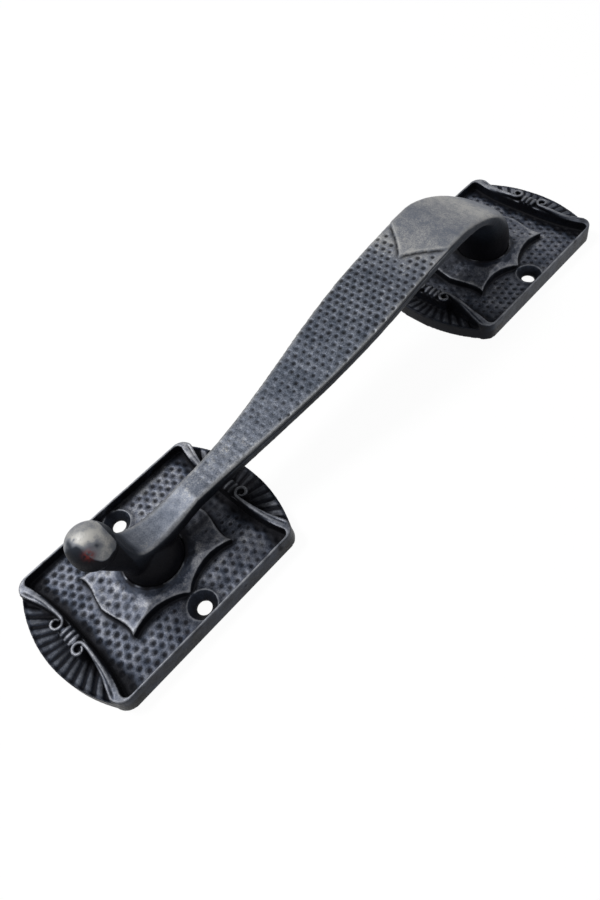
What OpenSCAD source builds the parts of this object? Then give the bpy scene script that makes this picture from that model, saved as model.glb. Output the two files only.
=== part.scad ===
// Cast door pull: one tapering handle casting that stands on two plates with shell ends.
// X runs along the pull from the lower plate to the upper one, Y across it and Z away
// from the door. The door face is z = 0, and the origin lies midway between the posts.

/* [Plates] */
// Width of a plate across the pull
plate_w = 57.2; // [55:0.2:62]
// Length of a plate over its two shell ends
plate_l = 86.6; // [84:0.2:90]
// Length of the frame that carries the rim
frame_l = 74.2; // [73:0.2:76]
// Radius of the frame's corners
corner_r = 5; // [4:0.5:6]
// Lean of the frame's outer faces over their height, which frees the casting from its mould
draft = 0.6; // [0.2:0.1:1]
// Width of a shell end where it leaves the frame
shell_w = 49; // [46:0.5:50]
// Radius of a shell end's outer arc
shell_r = 51; // [46:1:60]
// Height of the rim above the door
rim_h = 7; // [6.6:0.1:7.4]
// Width of the rim's crest
rim_w = 1.3; // [1:0.1:1.8]
// Height of the sunk panel above the door
panel_h = 3.2; // [2.8:0.1:4]
// Radius of the sunk panel's corners
panel_r = 2; // [1:0.5:3]
// Height of a shell's outer edge
shell_edge_h = 4.7; // [4.2:0.1:5.4]
// Height of a shell's floor beside its scrolls
shell_root_h = 3; // [2.4:0.1:3.8]

/* [Flutes and scrolls] */
// Flutes on each shell
flute_count = 13; // [11:2:17]
// Angle over which the flutes fan out
flute_spread = 110; // [100:2:112]
// Share of the room between two flutes' axes that half a flute takes up
flute_share = 0.3; // [0.26:0.02:0.36]
// Height of the flutes' axes above the shell's edge, which keeps their ends shallow
flute_lift = 0.5; // [0.3:0.1:0.7]
// Distance from the plate's centre to the point where the flutes meet
hinge_x = 22; // [21:0.5:25]
// Distance of a scroll's root from the frame's long side
scroll_inset = 3.4; // [3:0.1:4]
// Half width of the scroll moulding at the frame's corner
scroll_root_r = 1.8; // [1.4:0.1:2]
// Half width of the scroll moulding at its volute
scroll_tip_r = 0.75; // [0.7:0.05:0.9]
// Height of the scroll moulding at its volute
scroll_h = 9.2; // [8.4:0.1:9.8]
// Radius on which a volute starts to turn
volute_r = 2.2; // [2:0.05:2.3]
// Radius on which it ends, round its eye
volute_eye_r = 1.4; // [1.3:0.05:1.6]
// Angle through which a volute turns
volute_turn = 280; // [200:10:280]
// Distance of a volute's middle from the plate's centre along the pull
volute_x = 33.9; // [33.4:0.1:34.4]
// Distance of a volute's middle from the plate's long axis
volute_y = 5.9; // [5.8:0.1:6.6]
// Beads in the knot between two volutes
bead_count = 3; // [1:1:3]
// Length of a bead
bead_l = 4.6; // [3.8:0.1:5]
// Height of the knot's middle, and of the ground under the volutes
knot_h = 7.4; // [7.2:0.1:7.8]
// Radius of a bead
bead_r = 1.15; // [1.1:0.05:1.2]
// Distance between the axes of neighbouring beads, which run into each other
bead_pitch = 2.1; // [1.9:0.1:2.1]

/* [Plaque and seat] */
// Length of the plaque over its corner tips
plaque_l = 41.2; // [39:0.2:44]
// Width of the plaque over its corner tips
plaque_w = 28.6; // [27:0.2:30]
// Width of the plaque over the points beside the screw holes
plaque_point_w = 34; // [32:0.2:34.2]
// Distance that each short side of the plaque swells past its tips
plaque_swell = 1.3; // [0.5:0.1:2]
// Distance that each long side of the plaque hollows in from its tips
plaque_hollow = 3.1; // [2:0.1:4]
// Depth to which the plaque's slopes dip below its corner tips
plaque_dip = 0.4; // [0.2:0.1:0.6]
// Height of the plaque beside the seat
plaque_h = 7.6; // [7.2:0.1:8]
// Height of the plaque's corner tips
plaque_tip_h = 6.2; // [5.6:0.1:6.6]
// Height of the thin crest round the seat
crest_h = 8; // [7.8:0.1:8.6]
// Width of the crest at its foot
crest_w = 1.8; // [1.2:0.1:2.4]
// Height of the socket's floor, on which a post stands
socket_h = 5.6; // [5:0.1:6]

/* [Screw holes] */
// Distance between the two screw holes of a plate
hole_gap = 44; // [43:0.5:45]
// Diameter of a screw hole
hole_d = 4.9; // [4:0.1:5.5]
// Diameter of the countersunk dish
dish_d = 9.6; // [8.6:0.1:10]
// Metal left under the countersink
dish_floor = 1.2; // [0.8:0.1:1.4]
// Width of the lip round the dish
lip_w = 1.1; // [0.6:0.1:1.3]
// Height of the lip above the panel
lip_t = 0.4; // [0.2:0.1:0.6]

/* [Handle] */
// Distance between the two posts
post_gap = 177.8; // [165:0.2:200]
// Diameter of a post
post_d = 19.8; // [19:0.2:21]
// Height at which the low post starts to narrow towards the thumb saddle
shoulder_h = 8.8; // [8.4:0.2:10]
// Height at which the underside of the neck meets the low post
neck_foot_h = 12.6; // [11:0.2:13.4]
// Height at which the high post meets the foot of the curl
curl_h = 8.6; // [8.4:0.2:10]
// Step by which the foot of the curl stands out round the high post
foot_step = 0.25; // [0.2:0.05:0.4]
// Height of the strap where it starts at its low end
low_h = 21.6; // [20.6:0.2:23]
// Height of the strap at the crown of its high end
high_h = 42.2; // [38:0.2:46]
// Distance from the low post's axis to the toe where the strap starts
toe_x = 20; // [18:0.5:24]
// Distance from the crown to the high post's axis
crown_back = 35; // [32:0.5:38]
// Width of the strap at its low end
strap_low_w = 9.6; // [8.6:0.2:12]
// Width of the strap at its high end
strap_high_w = 24.8; // [22:0.2:27]
// Length over which the strap widens
strap_flare = 88; // [70:2:100]
// Thickness of the strap
strap_t = 4.8; // [4:0.1:5.6]
// Radius of the strap's edges
edge_r = 0.6; // [0.4:0.1:1]
// Step from the dimpled field of the strap up to the smooth cap
cap_step = 0.7; // [0.3:0.1:0.8]
// Length over which the field sinks from the toe to its full depth
field_fade = 60; // [40:5:80]
// Distance from the high post's axis to the point of the cap
cap_l = 54; // [48:1:60]
// Depth of the brace in which the cap ends
brace_l = 11; // [8:0.5:14]
// Height to which the thumb saddle's line is drawn down
saddle_h = 18; // [17.4:0.1:18.8]
// Height by which the low post's top stands above that line, inside the saddle
shoulder_rise = 1.3; // [0.8:0.1:1.5]
// Half width of the thumb saddle over the low post
saddle_w = 6.2; // [5.8:0.1:6.6]
// Half width of the neck between saddle and knob
neck_r = 6.2; // [5.6:0.1:6.6]
// Depth below the knob's centre at which the neck leaves it
neck_drop = 3.7; // [3:0.1:4.4]
// Diameter of the thumb knob
knob_d = 14.3; // [13.5:0.1:15]
// Height of the knob's centre
knob_h = 34.7; // [33:0.1:36]
// Distance that the knob leans out past its post's axis
knob_reach = 11.8; // [11:0.1:12.6]

/* [Back screws] */
// Diameter of the machine screw that holds a post
screw_d = 6; // [5:0.5:6]
// Diameter of its countersunk head
head_d = 11.4; // [10.5:0.1:11.6]
// Depth of the head's face below the plate's back
head_sink = 0.3; // [0.2:0.1:0.5]
// Height of the screw's end above the door
screw_end = 13; // [11:0.5:13.5]
// Width of the slot in the head
slot_w = 1.6; // [1.2:0.1:2]
// Depth of the slot
slot_t = 1.5; // [1:0.1:1.8]
// Gap round a fitted piece
fit_gap = 0.15; // [0.1:0.05:0.25]
// Length of thread bore left free past the screw's end
bore_spare = 1; // [0.5:0.1:2]

/* [Hidden] */
$fn = 64;

// Reach of a cut past the faces that it opens
past = 20;
// Length of a flute before the rise of its floor and past the shell's edge
flute_lead = 1.3;
arc_fn = 180;
section_steps = 6;
low_steps = 14;
strap_steps = 16;
curl_steps = 14;
run_steps = 14;
turn_steps = 11;
tube_sides = 8;
edge_steps = 8;

end_x = plate_l / 2;
shell_cx = end_x - shell_r;
bolt_y = hole_gap / 2;
post_r = post_d / 2;
seat_r = post_r + fit_gap;
knob_r = knob_d / 2;
head_t = (head_d - screw_d) / 2;
dish_t = (dish_d - hole_d) / 2;
crown_x = post_gap - crown_back;
brace_x = post_gap - cap_l;
shoulder_top = saddle_h + shoulder_rise;
foot_r = post_r + foot_step;
scroll_x = volute_x - volute_r;
neck_h = knob_h - neck_drop;

// Cubic curve from a to b, given by its four control points. The shares of the step from a
// to b say how far it runs out of a, and back from b, before it bends.
function bend(a, out, back, b) =
    let(step = b - a)
    [a, a + [out.x * step.x, out.y * step.y], b - [back.x * step.x, back.y * step.y], b];

// Middle line of a scroll moulding, from the frame's corner to its volute
scroll_run = bend([frame_l / 2 - scroll_root_r, plate_w / 2 - scroll_inset], [0.56, 0.32], [0, 0.32],
                  [scroll_x, volute_y]);

// Ends of the handle's lines, which lie in its middle plane with the low post's axis at x = 0
neck_top = [0.92 * knob_r - knob_reach, neck_h];
neck_back = [-0.72 * knob_r - knob_reach, neck_h];
shoulder_back = [-0.93 * post_r, neck_foot_h];
toe_top = [toe_x, low_h];
toe_under = [toe_x, low_h - strap_t];
crown_top = [crown_x, high_h];
crown_under = [crown_x - strap_t / 5, high_h - strap_t];

// Three curves follow its top: the thumb saddle, the strap and the curl onto the high post
saddle_line = [neck_top, [-0.57 * post_r, mix(saddle_h, neck_h, 0.12)], [0.05 * post_r, saddle_h], toe_top];
strap_line = bend(toe_top, [0.375, 0.053], [0.3, 0.092], crown_top);
curl_line = bend(crown_top, [0.288, 0], [0.02, 0.518], [post_gap + foot_r, curl_h]);
// Three more follow its underside: the neck, the root of the toe and the inside of the curl
neck_line = bend(neck_back, [0.56, 0.435], [0.026, 0.35], shoulder_back);
root_line = bend(shoulder_back, [0.247, -1.57], [0.342, 0.167], toe_under);
inner_line = bend(crown_under, [0.58, 0], [0, 0.778], [post_gap - foot_r, curl_h]);
// Half width from the neck over the low post to the toe, and the roundness of the upper
// edges on the way: full at the neck, crisp over the post and softer again before the toe
saddle_half = [neck_r, saddle_w, saddle_w, strap_low_w / 2];
saddle_round = [1, -0.9, 0.9, 0.1];
// Near side of the brace in which the cap ends, from its point to the strap's edge
brace_line = [[brace_x, 0], [brace_x + brace_l * 0.35, -strap_high_w * 0.1],
              [brace_x + brace_l * 0.7, -strap_high_w / 3], [brace_x + brace_l, -strap_high_w / 2]];

// Point at the share s of a cubic curve with the four control points p
function on_curve(p, s) =
    pow(1 - s, 3) * p[0] + 3 * s * pow(1 - s, 2) * p[1] + 3 * s * s * (1 - s) * p[2] + pow(s, 3) * p[3];
function curve(p, n) = [for (i = [0:n]) on_curve(p, i / n)];
function mix(a, b, s) = a + (b - a) * s;
function ease(s) = let(c = min(1, max(0, s))) c * c * (3 - 2 * c);
function reversed(points) = [for (i = [len(points) - 1:-1:0]) points[i]];
function flip_x(points) = [for (p = points) [-p.x, p.y]];
function flip_y(points) = [for (p = points) [p.x, -p.y]];

// Closed outline made from the quarter that runs from the Y side to the X side, in which a
// point that lies on an axis stands once
function from_quarter(q) =
    let(below = reversed(flip_y([for (p = q) if (p.y > 0) p])),
        half = concat(q, below))
    concat(half, reversed(flip_x([for (p = half) if (p.x > 0) p])));

// Solid through rings of points, each ring with the same number of points
module loft(rings) {
    n = len(rings[0]);
    m = len(rings);
    side = [for (i = [0:m - 2], j = [0:n - 1], k = [0, 1])
        let(a = i * n + j, b = i * n + (j + 1) % n)
        k == 0 ? [a, b, b + n] : [a, b + n, a + n]];
    first = [for (j = [n - 1:-1:0]) j];
    last = [for (j = [0:n - 1]) (m - 1) * n + j];
    polyhedron(points = [for (r = rings) each r], faces = concat([first], side, [last]), convexity = 8);
}

module both_ends() {
    for (turn = [0, 180])
        rotate([0, 0, turn])
            children();
}

module both_sides() {
    for (side = [0, 1])
        mirror([0, side, 0])
            children();
}

// Drafted frame with round corners, flat on the door
module frame() {
    half_l = frame_l / 2;
    half_w = plate_w / 2;
    for (x = [-1, 1], y = [-1, 1])
        translate([x * (half_l - corner_r), y * (half_w - corner_r), 0])
            cylinder(h = rim_h, r1 = corner_r, r2 = corner_r - draft);
    rotate([90, 0, 90])
        linear_extrude(frame_l - 2 * corner_r, center = true)
            polygon([[-half_w, 0], [half_w, 0], [half_w - draft, rim_h], [draft - half_w, rim_h]]);
    rotate([90, 0, 0])
        linear_extrude(plate_w - 2 * corner_r, center = true)
            polygon([[-half_l, 0], [half_l, 0], [half_l - draft, rim_h], [draft - half_l, rim_h]]);
}

// Shell shaped ends that reach out past the frame
module shell_ends() {
    intersection() {
        translate([shell_cx, 0, 0])
            cylinder(h = shell_edge_h, r1 = shell_r, r2 = shell_r - draft / 2, $fn = arc_fn);
        translate([-shell_cx, 0, 0])
            cylinder(h = shell_edge_h, r1 = shell_r, r2 = shell_r - draft / 2, $fn = arc_fn);
        translate([-end_x, -shell_w / 2, 0])
            cube([plate_l, shell_w, shell_edge_h]);
    }
}

// Half width of the scroll moulding at the share s of its run
function scroll_half(s) = mix(scroll_root_r, scroll_tip_r, ease(s));

// Edge of the scroll moulding, on its outer side where side is 1 and its inner where it is -1
function scroll_edge(side) =
    [for (i = [0:run_steps]) on_curve(scroll_run, i / run_steps) + [side * scroll_half(i / run_steps), 0]];

// The sunk panel, whose ends follow the scrolls
module panel_outline() {
    inner = scroll_edge(-1);
    middle = [inner[0].x - panel_r, plate_w / 2 - rim_w - panel_r];
    corner = [for (a = [90:-18:18]) middle + panel_r * [cos(a), sin(a)]];
    polygon(from_quarter(concat(corner, inner)));
}

// The field of a shell, outside the scrolls
module shell_outline() {
    outer = scroll_edge(1);
    far = [[end_x + past, outer[0].y]];
    polygon(concat(far, outer, reversed(flip_y(outer)), flip_y(far)));
}

// Room over a shell's floor, which rises from the scrolls to the outer edge
module shell_room() {
    root_r = volute_x - shell_cx;
    intersection() {
        linear_extrude(rim_h + past)
            shell_outline();
        translate([shell_cx, 0, 0])
            rotate_extrude($fn = arc_fn)
                polygon([[root_r - past / 2, rim_h + past], [root_r - past / 2, shell_root_h],
                         [root_r, shell_root_h], [shell_r, shell_edge_h],
                         [shell_r + past, shell_edge_h], [shell_r + past, rim_h + past]]);
    }
}

// Distance from the hinge, in the direction turn, to the circle of radius r round the shell's middle
function flute_reach(r, turn) =
    let(d = hinge_x - shell_cx) sqrt(r * r - pow(d * sin(turn), 2)) - d * cos(turn);

// Flutes that fan out over a shell from the hinge under its scrolls, each along its floor
module flutes() {
    step = flute_spread / (flute_count - 1);
    share = flute_share * sin(step);
    intersection() {
        for (i = [0:flute_count - 1])
            let(turn = i * step - flute_spread / 2,
                root = flute_reach(volute_x - shell_cx, turn),
                edge = flute_reach(shell_r, turn),
                slope = (shell_edge_h + flute_lift - shell_root_h) / (edge - root),
                near = root - flute_lead,
                far = edge + flute_lead)
            translate([hinge_x, 0, 0])
                rotate([0, 0, turn])
                    translate([near, 0, shell_root_h - flute_lead * slope])
                        rotate([0, 90 - atan(slope), 0])
                            cylinder(h = far - near, r1 = near * share, r2 = far * share, $fn = 24);
        linear_extrude(rim_h)
            shell_outline();
    }
}

// Raised moulding that runs in from the frame's corner, climbs and turns round its volute
module scroll() {
    run = [for (i = [0:run_steps]) on_curve(scroll_run, i / run_steps)];
    turn = [for (i = [1:turn_steps])
        let(s = i / turn_steps, a = 180 + s * volute_turn)
        [volute_x, volute_y] + mix(volute_r, volute_eye_r, s) * [cos(a), sin(a)]];
    path = concat(run, turn);
    last = len(path) - 1;
    loft([for (i = [0:last])
        let(s = i / run_steps,
            r = scroll_half(s),
            top = mix(rim_h, scroll_h, ease(s)),
            way = path[min(i + 1, last)] - path[max(i - 1, 0)],
            across = [way.y, -way.x] / norm(way))
        [for (j = [0:tube_sides - 1])
            let(a = (j + 0.5) * 360 / tube_sides, out = r * cos(a))
            [path[i].x + out * across.x, path[i].y + out * across.y, top - r + r * sin(a)]]]);
}

// Bead of the knot, laid along X with tapered ends
module bead() {
    half = bead_l / 2;
    tip = bead_r * 0.6;
    rotate([0, 90, 0])
        rotate_extrude($fn = 24)
            polygon([[0, -half], [tip, -half], [bead_r, -half * 0.4], [bead_r, half * 0.4],
                     [tip, half], [0, half]]);
}

// Both scrolls of one end, the ground under their volutes and the knot between them
module scroll_pair() {
    inner_x = scroll_x - scroll_tip_r;
    both_sides() {
        scroll();
        translate([volute_x, volute_y, 0])
            cylinder(h = knot_h, r = (volute_r + volute_eye_r) / 2);
    }
    translate([inner_x, -volute_y, 0])
        cube([bead_l, 2 * volute_y, rim_h]);
    for (i = [0:bead_count - 1])
        translate([inner_x + bead_l / 2, (i - (bead_count - 1) / 2) * bead_pitch, knot_h])
            bead();
}

// Profile with a flat middle and a curved slope down each side
module roof_outline(slope) {
    half = concat(curve(slope, edge_steps), [[slope[3].x, 0]]);
    polygon(concat(half, reversed(flip_x(half))));
}

// Star shaped plaque, hipped up to the seat in its middle
module plaque() {
    tip = [plaque_l, plaque_w] / 2;
    hollow_y = tip.y - plaque_hollow;
    swell_x = tip.x + plaque_swell;
    point_y = plaque_point_w / 2;
    long_side = [[0, point_y], [0.2 * tip.x, hollow_y + 0.4 * plaque_hollow], [0.73 * tip.x, hollow_y], tip];
    short_side = [tip, [tip.x - 1.7 * plaque_swell, 0.73 * tip.y],
                  [swell_x - 0.4 * plaque_swell, 0.35 * tip.y], [swell_x, 0]];
    short_points = [for (i = [1:edge_steps]) on_curve(short_side, i / edge_steps)];
    crown = [seat_r + 0.7 * crest_w, plaque_h];
    slope_x = bend(crown, [0.28, 0.7], [0.34, -0.6], [swell_x, plaque_tip_h + 0.7 * plaque_dip]);
    slope_y = bend(crown, [0.27, 0.4], [0.48, 0.135], [point_y, plaque_tip_h - 1.7 * plaque_dip]);
    intersection() {
        linear_extrude(plaque_h)
            polygon(from_quarter(concat(curve(long_side, edge_steps), short_points)));
        rotate([90, 0, 0])
            linear_extrude(plate_w, center = true)
                roof_outline(slope_x);
        rotate([90, 0, 90])
            linear_extrude(plate_l, center = true)
                roof_outline(slope_y);
    }
}

// Thin crest that stands round the seat
module seat_crest() {
    rotate_extrude()
        polygon([[0, 0], [seat_r + crest_w, 0], [seat_r + crest_w, plaque_h - plaque_dip],
                 [seat_r + crest_w / 3, crest_h], [0, crest_h]]);
}

// Low lip that stands round a screw hole's dish
module dish_lip() {
    lip_r = dish_d / 2 + lip_w;
    rotate_extrude()
        polygon([[0, 0], [lip_r, 0], [lip_r, panel_h], [lip_r - lip_w * 0.7, panel_h + lip_t],
                 [0, panel_h + lip_t]]);
}

// Room of a screw hole and its countersunk dish
module screw_hole() {
    translate([0, 0, -past])
        cylinder(h = 2 * past, d = hole_d);
    translate([0, 0, dish_floor])
        cylinder(h = dish_t, d1 = hole_d, d2 = dish_d);
    translate([0, 0, dish_floor + dish_t])
        cylinder(h = past, d = dish_d);
}

// Countersunk room for the machine screw in the back of a plate
module back_hole() {
    translate([0, 0, -past])
        cylinder(h = 2 * past, d = screw_d + 2 * fit_gap);
    translate([0, 0, -past])
        cylinder(h = past + head_sink, d = head_d + 2 * fit_gap);
    translate([0, 0, head_sink])
        cylinder(h = head_t, d1 = head_d + 2 * fit_gap, d2 = screw_d + 2 * fit_gap);
}

module plate() {
    difference() {
        union() {
            difference() {
                union() {
                    frame();
                    shell_ends();
                }
                translate([0, 0, panel_h])
                    linear_extrude(rim_h)
                        panel_outline();
                both_ends() {
                    shell_room();
                    flutes();
                }
            }
            both_ends()
                scroll_pair();
            plaque();
            seat_crest();
            both_sides()
                translate([0, bolt_y, 0])
                    dish_lip();
        }
        both_sides()
            translate([0, bolt_y, 0])
                screw_hole();
        translate([0, 0, socket_h])
            cylinder(h = past, r = seat_r);
        back_hole();
    }
}

// Cross section between a top and a bottom point, whose upper and lower edges go from a
// bar's where their roundness is 0 to an ellipse's where it is 1
function section(top, bottom, half, top_round, bottom_round) =
    let(mid = (top + bottom) / 2, up = (top - bottom) / 2, h = norm(up))
    [for (q = [0:3], i = [0:section_steps - 1])
        let(round = q < 2 ? bottom_round : top_round,
            rx = mix(edge_r, half, round),
            ry = mix(edge_r, h, round),
            a = -q * 90 - (i + 0.5) * 90 / section_steps,
            y = cos(a) * rx + sign(cos(a)) * (half - rx),
            v = (sin(a) * ry + sign(sin(a)) * (h - ry)) / h)
        [mid.x + up.x * v, y, mid.y + up.y * v]];

// Sections from the knob's neck over the low post to the toe of the strap
function saddle_rings() =
    [for (i = [0:low_steps])
        let(s = i / low_steps,
            bottom = s < 0.5 ? on_curve(neck_line, 2 * s) : on_curve(root_line, 2 * s - 1))
        section(on_curve(saddle_line, s), bottom, on_curve(saddle_half, s), on_curve(saddle_round, s),
                1 - 0.9 * ease((s - 0.7) / 0.3))];

// Sections of the strap, which widens and loses the last of its roundness
function strap_rings() =
    [for (i = [1:strap_steps])
        let(s = i / strap_steps,
            top = on_curve(strap_line, s),
            half = mix(strap_low_w, strap_high_w, ease((top.x - toe_x) / strap_flare)) / 2,
            round = 0.1 * (1 - s))
        section(top, top - [0, strap_t], half, round, round)];

// Sections that narrow and round off as the strap curls down onto the high post
function curl_rings() =
    [for (i = [1:curl_steps])
        let(s = i / curl_steps,
            half = mix(strap_high_w / 2, foot_r, ease(s * 1.3)),
            round = ease(s * 1.1))
        section(on_curve(curl_line, s), on_curve(inner_line, s), half, round, round)];

// Low post, which narrows in a soft shoulder to run in under the thumb saddle
module low_post() {
    shoulder = bend([post_r, shoulder_h], [0, 0.42], [0.1, 0.3], [0.9 * saddle_w, shoulder_top]);
    rotate_extrude()
        polygon(concat([[0, socket_h], [post_r, socket_h]], curve(shoulder, edge_steps),
                       [[0, shoulder_top]]));
}

module high_post() {
    translate([post_gap, 0, socket_h])
        cylinder(h = curl_h - socket_h, r = post_r);
}

module knob() {
    translate([-knob_reach, 0, knob_h])
        sphere(knob_r);
}

// Room above the dimpled field, which leaves the strap's top past the toe and sinks to lie
// a step below the cap
module field_room() {
    floor_line = [for (i = [0:strap_steps])
        let(top = on_curve(strap_line, i / strap_steps))
        top - [0, mix(-cap_step / 5, cap_step, ease((top.x - toe_x) / field_fade))]];
    near = [for (i = [1:edge_steps]) on_curve(brace_line, i / edge_steps)];
    edge_x = near[edge_steps - 1].x;
    side_y = strap_high_w;
    intersection() {
        rotate([90, 0, 0])
            linear_extrude(2 * side_y, center = true)
                polygon(concat(floor_line, [[crown_x, high_h + past], [toe_x, high_h + past]]));
        linear_extrude(high_h + past)
            polygon(concat([[toe_x, -side_y], [toe_x, side_y], [edge_x, side_y]], reversed(flip_y(near)),
                           [brace_line[0]], near, [[edge_x, -side_y]]));
    }
}

// Threaded bore in a post's foot
module post_bore() {
    cylinder(h = screw_end + bore_spare, d = screw_d + 2 * fit_gap);
}

module handle() {
    color("dimgray")
        translate([-post_gap / 2, 0, 0])
            difference() {
                union() {
                    loft(concat(saddle_rings(), strap_rings(), curl_rings()));
                    low_post();
                    high_post();
                    knob();
                }
                field_room();
                post_bore();
                translate([post_gap, 0, 0])
                    post_bore();
            }
}

module screw() {
    difference() {
        union() {
            translate([0, 0, head_sink])
                cylinder(h = head_t, d1 = head_d, d2 = screw_d);
            translate([0, 0, head_sink])
                cylinder(h = screw_end - head_sink, d = screw_d);
        }
        translate([-head_d, -slot_w / 2, head_sink - past])
            cube([2 * head_d, slot_w, past + slot_t]);
    }
}

module lower_plate() {
    color("slategray")
        translate([-post_gap / 2, 0, 0])
            plate();
}

module upper_plate() {
    color("slategray")
        translate([post_gap / 2, 0, 0])
            plate();
}

module lower_screw() {
    color("silver")
        translate([-post_gap / 2, 0, 0])
            screw();
}

module upper_screw() {
    color("silver")
        translate([post_gap / 2, 0, 0])
            screw();
}

handle();
lower_plate();
upper_plate();
lower_screw();
upper_screw();
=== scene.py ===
import math

import bpy
import numpy as np
from mathutils import Euler, Matrix, Vector, kdtree
from mathutils.bvhtree import BVHTree


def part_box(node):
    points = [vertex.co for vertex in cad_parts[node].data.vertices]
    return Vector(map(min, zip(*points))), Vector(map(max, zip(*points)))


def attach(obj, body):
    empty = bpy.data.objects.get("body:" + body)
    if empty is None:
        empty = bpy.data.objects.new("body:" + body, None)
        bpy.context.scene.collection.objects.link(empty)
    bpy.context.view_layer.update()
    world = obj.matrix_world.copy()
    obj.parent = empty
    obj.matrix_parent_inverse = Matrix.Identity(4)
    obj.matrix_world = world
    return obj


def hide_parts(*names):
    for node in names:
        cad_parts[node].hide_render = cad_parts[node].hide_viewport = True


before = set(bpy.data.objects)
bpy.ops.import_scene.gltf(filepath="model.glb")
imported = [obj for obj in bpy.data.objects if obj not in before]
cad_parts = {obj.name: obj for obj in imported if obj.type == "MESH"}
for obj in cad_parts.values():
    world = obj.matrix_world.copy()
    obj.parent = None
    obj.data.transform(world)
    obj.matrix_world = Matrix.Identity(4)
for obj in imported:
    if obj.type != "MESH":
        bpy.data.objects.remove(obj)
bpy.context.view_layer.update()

MM = 0.001

# The camera of the photograph: its place, the direction it looks in and its roll
CAMERA_AT = Vector((-103.1, -109.9, 189.5)) * MM
LOOK_TURN = math.radians(54.20)
LOOK_DOWN = math.radians(55.70)
LOOK_ROLL = math.radians(-13.42)
LENS_MM = 26.0
SENSOR_MM = 36.0

# Main sizes of the pull, worked out from the frame
LOWER_LO, LOWER_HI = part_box("lower_plate")
UPPER_LO, UPPER_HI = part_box("upper_plate")
LOWER_X = (LOWER_LO.x + LOWER_HI.x) / 2
UPPER_X = (UPPER_LO.x + UPPER_HI.x) / 2

# A plate's screw holes: their distance from its long axis
BOLT_Y = 22 * MM

# A plate's shell ends: distance of the edge from the plate's centre, radius and height of the edge
SHELL_END = (LOWER_HI.x - LOWER_LO.x) / 2
SHELL_R = 51 * MM
SHELL_LIP_H = 4.5 * MM

# The lip along that edge: distance from the edge at which it starts to rise and at which it is
# full, how far back from the plate's end it runs, and the lowest floor that it rises from
LIP_START = 1.2 * MM
LIP_FULL = 0.5 * MM
LIP_BACK = 7 * MM
LIP_FLOOR_H = 3 * MM

# Middle line of a plate's scroll mouldings, in millimetres from the plate's centre: the four
# control points of its curve from the frame's corner to the volute
SCROLL_RUN = ((35.3, 25.2), (33.28, 19.02), (31.7, 12.08), (31.7, 5.9))

# Volute of such a moulding: its middle, the arc on which its end closes on its start, from one
# angle in degrees and radius to the next, its height there and the points that stand for the arc
VOLUTE_AT = (33.9, 5.9)
VOLUTE_ARC = ((85, 1.4), (175, 1.15))
VOLUTE_H = 8.9
VOLUTE_STEPS = 24

# Its reach from that middle, its lowest height, and the distances from the arc at which its ridge
# starts to fall and has fallen
VOLUTE_REACH = 2.4
VOLUTE_FOOT_H = 6.5 * MM
VOLUTE_RIDGE = (0.3, 0.75)

# Gaps between the knot's beads: their distance from the plate's long axis, and the beads' ends
# along the pull
BEAD_GAP_Y = 1.05
BEAD_ENDS = (31.2, 35.4)

# Grooves, each as its depth and half width in millimetres: at a scroll's root, between two beads
# and along the strap's sides
SCROLL_GROOVE = (0.3, 0.3)
BEAD_GROOVE = (0.35, 0.28)
STRAP_GROOVE = (0.22, 0.32)

# The first of them: distance outside the scroll's middle line, points that stand for that line
# and the share of its run that they cover, and the shares over which it deepens and fades
SCROLL_GROOVE_ASIDE = 0.55
SCROLL_GROOVE_STEPS = 60
SCROLL_GROOVE_RUN = 0.8
SCROLL_GROOVE_DEEPENS = (0, 0.12)
SCROLL_GROOVE_FADES = (0.45, 0.75)

# Where it can lie: least height, and least distances along the pull and across it
SCROLL_FOOT_H = 5.5 * MM
SCROLL_LEAST_X = 29
SCROLL_LEAST_Y = 9

# The last of them: distance below the strap's upper edge, and where along the pull, from the low
# post's axis, that edge is measured and the groove deepens and fades
STRAP_GROOVE_DOWN = 1.5
STRAP_GROOVE_RUN = (18, 146)
STRAP_GROOVE_DEEPENS = (24, 34)
STRAP_GROOVE_FADES = (132, 142)

# Skin of a casting: its voxels, the gap that is welded first and the most triangles that are kept
VOXEL = 0.30 * MM
WELD_GAP = 0.0005 * MM
MOST_TRIANGLES = 190_000

# Rounds of smoothing that take the voxels' stairs out, that find the sharp edges and that widen
# them, and how far the second of these moves a round form's point at most and an edge's at least
STAIR_ROUNDS = 3
SHARP_ROUNDS = 6
KEEP_ROUNDS = 2
ROUND_MOVE = 0.035 * MM
SHARP_MOVE = 0.07 * MM

# Steps that even out facets without shrinking the form, one in and a slightly longer one out, and
# how many rounds of them are taken away from the sharp edges
SOFTEN_STEPS = (0.5, -0.53)
PLATE_EVEN_ROUNDS = 12
HANDLE_EVEN_ROUNDS = 130

# Lower part of the curl, which is evened out as a whole: the bands, in millimetres from the low
# post's axis and over the ground, in which that comes in and ends, and its rounds of smoothing
CURL_X = (160, 168)
CURL_TOP_H = (27, 35)
CURL_ROUNDS = 90

# Rounds of smoothing that find fine edges and broad hollows, and the moves that count in full
FINE_ROUNDS = 8
FINE_MOVE = 0.06 * MM
BROAD_ROUNDS = 30
BROAD_MOVE = 0.14 * MM

# Unevenness of the cast skin: width and height of its waves in millimetres, and the band of
# heights over the ground in which they come in
SKIN_WAVES = ((5, 0.05), (1.6, 0.025))
SKIN_WAVES_H = (0.1, 0.6)

# Open sky over a point: points that are sampled, rays from each, where a ray starts and how far it
# looks, how much the rays keep to the surface's own way, samples that each vertex takes its value
# from, how far they blur, and rounds of smoothing after that
SKY_SAMPLES = 9000
SKY_RAYS = 20
SKY_START = 0.5 * MM
SKY_REACH = 45 * MM
SKY_LEAN = 1.05
SKY_NEAREST = 3
SKY_BLUR = 0.1 * MM
SKY_ROUNDS = 12

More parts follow.
